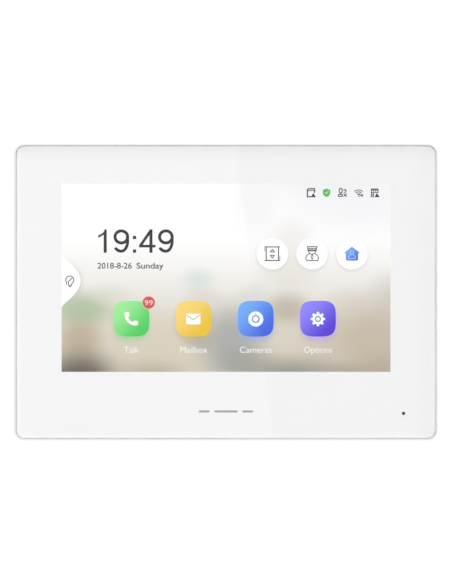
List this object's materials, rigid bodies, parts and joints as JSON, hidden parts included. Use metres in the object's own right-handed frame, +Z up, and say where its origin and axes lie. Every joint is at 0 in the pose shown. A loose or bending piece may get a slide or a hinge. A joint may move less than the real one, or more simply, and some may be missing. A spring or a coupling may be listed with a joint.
{
  "type": "video intercom monitor",
  "caption": "Slim wall-hung video intercom monitor: white glass front with a wide touch screen, two-part plastic housing with a rear connector bay, hung on a steel hook bracket.",
  "frame": {"origin": "centre of the wall bracket's four corner screw holes, on the plane of the wall", "axes": "+X to the viewer's right, +Y into the wall, +Z up; the screen faces -Y"},
  "size_m": [0.2, 0.027, 0.14],
  "materials": {
    "cover_glass": "polished",
    "white_ink": "printed white behind glass",
    "touch_film": "clear laminate",
    "lcd_panel": "lit picture under a polariser",
    "diffuser_film": "translucent",
    "light_guide_acrylic": "clear acrylic",
    "reflector_film": "white",
    "flex_film": "amber polyimide",
    "led_package": "white package",
    "foam": "matt",
    "adhesive_tape": "matt",
    "frame_plastic": "satin white",
    "cover_plastic": "fine spark texture",
    "tray_steel": "bright sheet",
    "zinc_steel": "zinc plated",
    "retainer_steel": "bright sheet",
    "screw_steel": "nickel plated",
    "board_laminate": "green solder mask",
    "chip_epoxy": "black epoxy",
    "thermal_silicone": "soft pad",
    "capacitor_can": "bright can",
    "connector_black": "moulded",
    "connector_green": "moulded",
    "connector_white": "moulded",
    "contact_gold": "gold flash",
    "speaker_basket": "moulded",
    "speaker_paper": "pressed paper",
    "magnet_steel": "plated pot",
    "lead_insulation": "soft jacket",
    "antenna_laminate": "black film over copper",
    "label_film": "silver-white blank"
  },
  "bodies": {
    "bracket": {"wall_bracket": "zinc_steel"},
    "monitor": {"cover_glass": "cover_glass", "mask_print": "white_ink", "touch_sensor": "touch_film", "lcd_glass": "lcd_panel", "optical_films": "diffuser_film", "light_guide": "light_guide_acrylic", "reflector_sheet": "reflector_film", "touch_flex": "flex_film", "lcd_flex": "flex_film", "backlight_strip": "flex_film", "backlight_leds": "led_package", "lcd_gasket": "foam", "speaker_gasket": "foam", "glass_adhesive": "adhesive_tape", "front_frame": "frame_plastic", "rear_cover": "cover_plastic", "lcd_tray": "tray_steel", "retainer_plate": "retainer_steel", "shield_can": "retainer_steel", "card_socket": "retainer_steel", "retainer_screws": "screw_steel", "board_screws": "screw_steel", "cover_screws": "screw_steel", "board_standoffs": "screw_steel", "coin_cell": "screw_steel", "main_board": "board_laminate", "processor_chip": "chip_epoxy", "memory_chips": "chip_epoxy", "small_chips": "chip_epoxy", "power_inductors": "chip_epoxy", "network_transformer": "chip_epoxy", "thermal_pad": "thermal_silicone", "capacitors": "capacitor_can", "rj45_jack": "connector_black", "cell_holder": "connector_black", "reset_switch": "connector_black", "microphone_boot": "connector_black", "alarm_header": "connector_green", "power_header": "connector_green", "flex_connectors": "connector_white", "lead_sockets": "connector_white", "rj45_contacts": "contact_gold", "antenna_socket": "contact_gold", "speaker_frame": "speaker_basket", "speaker_cone": "speaker_paper", "speaker_magnet": "magnet_steel", "microphone_capsule": "magnet_steel", "speaker_leads": "lead_insulation", "microphone_leads": "lead_insulation", "antenna_lead": "lead_insulation", "wifi_antenna": "antenna_laminate", "blank_label": "label_film"},
    "reset_key": {"reset_button": "connector_white"},
    "alarm_connector": {"alarm_plug": "connector_green", "alarm_plug_screws": "screw_steel"},
    "power_connector": {"power_plug": "connector_green", "power_plug_screws": "screw_steel"}
  },
  "joints": [
    {"name": "monitor_lift", "type": "slide", "parent": "bracket", "child": "monitor", "axis": [0, 0, 1], "range_m": [0, 0.007]},
    {"name": "reset_press", "type": "slide", "parent": "monitor", "child": "reset_key", "axis": [0, 0, 1], "range_m": [0, 0.0003], "stiffness_N_per_m": 3000, "springref_m": -0.0002},
    {"name": "alarm_plug_pull", "type": "slide", "parent": "monitor", "child": "alarm_connector", "axis": [0, 0, -1], "range_m": [0, 0.009]},
    {"name": "power_plug_pull", "type": "slide", "parent": "monitor", "child": "power_connector", "axis": [0, 0, -1], "range_m": [0, 0.009]}
  ]
}
